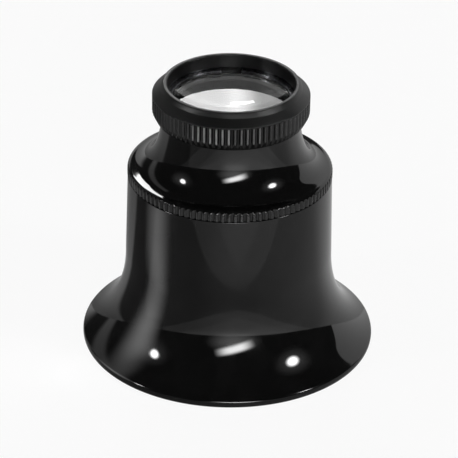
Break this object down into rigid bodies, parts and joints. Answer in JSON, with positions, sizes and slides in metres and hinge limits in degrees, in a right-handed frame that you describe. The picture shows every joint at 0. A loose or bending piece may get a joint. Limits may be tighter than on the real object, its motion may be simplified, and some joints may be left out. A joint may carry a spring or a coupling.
{
  "type": "watchmaker eye loupe",
  "caption": "Flared eyecup with a screwed trumpet-shaped neck cap and a knurled lens ring, carrying plano-convex lenses for close work at the bench.",
  "frame": {"origin": "centre of the flat eye rim, on the optical axis, which is the face the loupe stands on", "axes": "+Z along the optical axis from the eye rim to the front lens; the loupe is round about it"},
  "size_m": [0.036, 0.036, 0.0344],
  "materials": {
    "black_plastic": "polished moulded black plastic, as from a buffed tool",
    "optical_glass": "polished crown glass",
    "spring_steel": "blued spring steel",
    "blackened_metal": "matt black anodised aluminium"
  },
  "bodies": {
    "eyecup": {"eyecup": "black_plastic"},
    "rear_optic": {"rear_lens": "optical_glass"},
    "neck_cap": {"neck_cap": "black_plastic", "aperture_stop": "blackened_metal", "rear_retaining_ring": "blackened_metal"},
    "front_optic": {"front_lens": "optical_glass"},
    "lens_ring": {"lens_ring": "black_plastic", "front_lens_clip": "spring_steel"}
  },
  "joints": [
    {"name": "neck_cap_lift", "type": "slide", "parent": "eyecup", "child": "rear_optic", "axis": [0, 0, 1], "range_m": [0, 0.0035]},
    {"name": "neck_cap_turn", "type": "hinge", "parent": "rear_optic", "child": "neck_cap", "pos_m": [0, 0, 0.0222], "axis": [0, 0, 1], "range_deg": [0, 1260]},
    {"name": "lens_ring_lift", "type": "slide", "parent": "neck_cap", "child": "front_optic", "axis": [0, 0, 1], "range_m": [0, 0.003]},
    {"name": "lens_ring_turn", "type": "hinge", "parent": "front_optic", "child": "lens_ring", "pos_m": [0, 0, 0.0299], "axis": [0, 0, 1], "range_deg": [0, 1440]}
  ],
  "couplings": [
    {"joint": "neck_cap_turn", "follows": "neck_cap_lift", "rad_per_m": 6283.2},
    {"joint": "lens_ring_turn", "follows": "lens_ring_lift", "rad_per_m": 8377.6}
  ]
}
